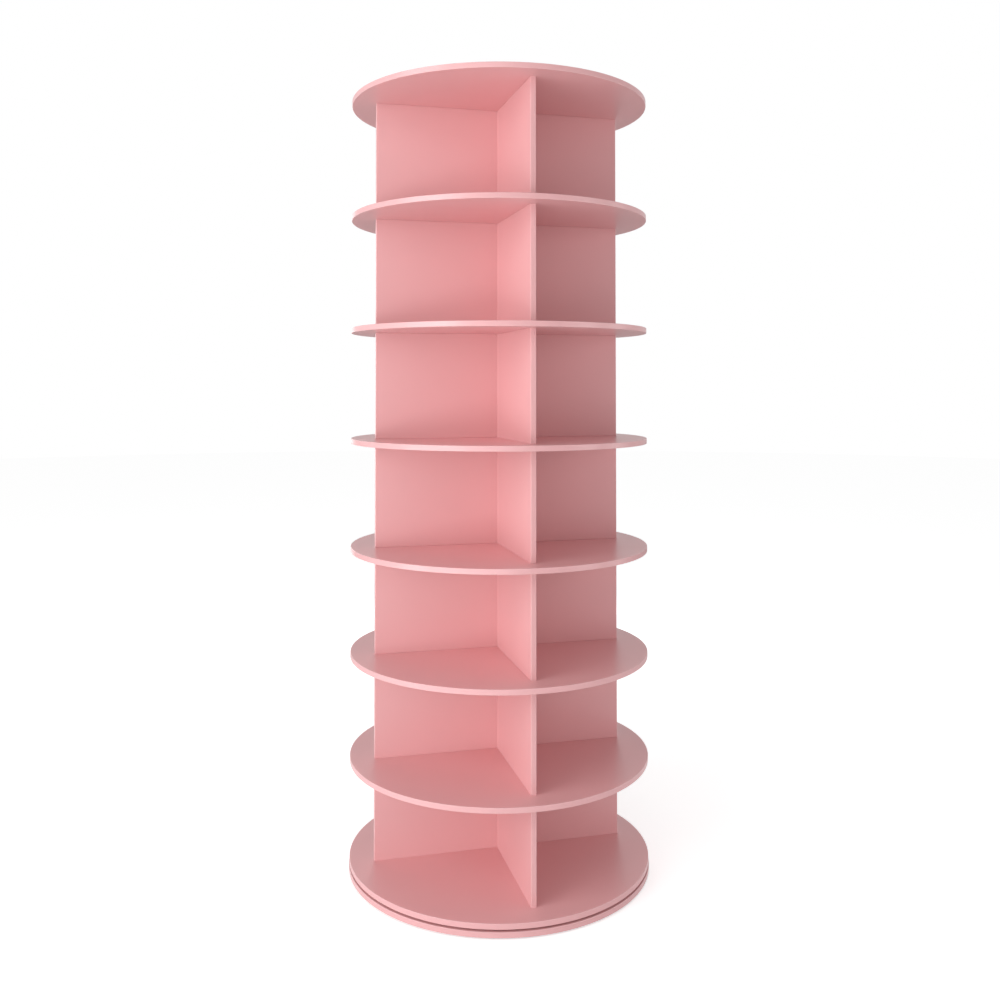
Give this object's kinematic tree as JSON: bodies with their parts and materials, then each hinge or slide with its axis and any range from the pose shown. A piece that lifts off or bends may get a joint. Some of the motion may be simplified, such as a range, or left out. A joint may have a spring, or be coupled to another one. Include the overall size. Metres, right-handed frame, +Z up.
{
  "type": "rotating shoe tower",
  "caption": "Round free-standing shoe tower: open tiers divided in quarters by crossed upright panels, turning as one stack on a ring bearing over a fixed base board.",
  "frame": {"origin": "on the turning axis at floor level, under the middle of the base board", "axes": "+Z up along the turning axis; +X along the wide panels; the front half panels point towards -Y"},
  "size_m": [0.7019, 0.702, 1.7933],
  "materials": {
    "pink_board": "satin paint on smooth fibreboard",
    "pink_cap": "satin moulded plastic",
    "aluminium_ring": "turned, bare",
    "ball_steel": "polished ball steel",
    "zinc_screw": "bright zinc plate",
    "nylon_cage": "natural nylon",
    "rubber_pad": "matt black rubber",
    "beech_dowel": "raw beech"
  },
  "bodies": {
    "base": {"base_board": "pink_board", "foot_pads": "rubber_pad", "foot_pad_screws": "zinc_screw", "bearing_outer_ring": "aluminium_ring", "bearing_outer_ring_screws": "zinc_screw"},
    "ball_set": {"bearing_balls": "ball_steel", "bearing_cage": "nylon_cage"},
    "tower": {"bottom_board": "pink_board", "shelf_1": "pink_board", "shelf_2": "pink_board", "shelf_3": "pink_board", "shelf_4": "pink_board", "shelf_5": "pink_board", "shelf_6": "pink_board", "top_board": "pink_board", "tier_1_wide_panel": "pink_board", "tier_1_front_panel": "pink_board", "tier_1_back_panel": "pink_board", "tier_2_wide_panel": "pink_board", "tier_2_front_panel": "pink_board", "tier_2_back_panel": "pink_board", "tier_3_wide_panel": "pink_board", "tier_3_front_panel": "pink_board", "tier_3_back_panel": "pink_board", "tier_4_wide_panel": "pink_board", "tier_4_front_panel": "pink_board", "tier_4_back_panel": "pink_board", "tier_5_wide_panel": "pink_board", "tier_5_front_panel": "pink_board", "tier_5_back_panel": "pink_board", "tier_6_wide_panel": "pink_board", "tier_6_front_panel": "pink_board", "tier_6_back_panel": "pink_board", "tier_7_wide_panel": "pink_board", "tier_7_front_panel": "pink_board", "tier_7_back_panel": "pink_board", "bearing_inner_ring": "aluminium_ring", "bearing_inner_ring_screws": "zinc_screw", "bottom_board_screws": "zinc_screw", "shelf_screws": "zinc_screw", "top_board_screws": "zinc_screw", "top_screw_caps": "pink_cap", "long_dowels": "beech_dowel", "short_dowels": "beech_dowel", "cross_dowels": "beech_dowel"}
  },
  "joints": [
    {"name": "tower_spin", "type": "hinge", "parent": "base", "child": "tower", "pos_m": [0, 0, 0.0205], "axis": [0, 0, 1], "continuous": true},
    {"name": "ball_set_spin", "type": "hinge", "parent": "base", "child": "ball_set", "pos_m": [0, 0, 0.01625], "axis": [0, 0, 1], "continuous": true}
  ],
  "couplings": [
    {"joint": "ball_set_spin", "follows": "tower_spin", "ratio": 0.49039}
  ]
}
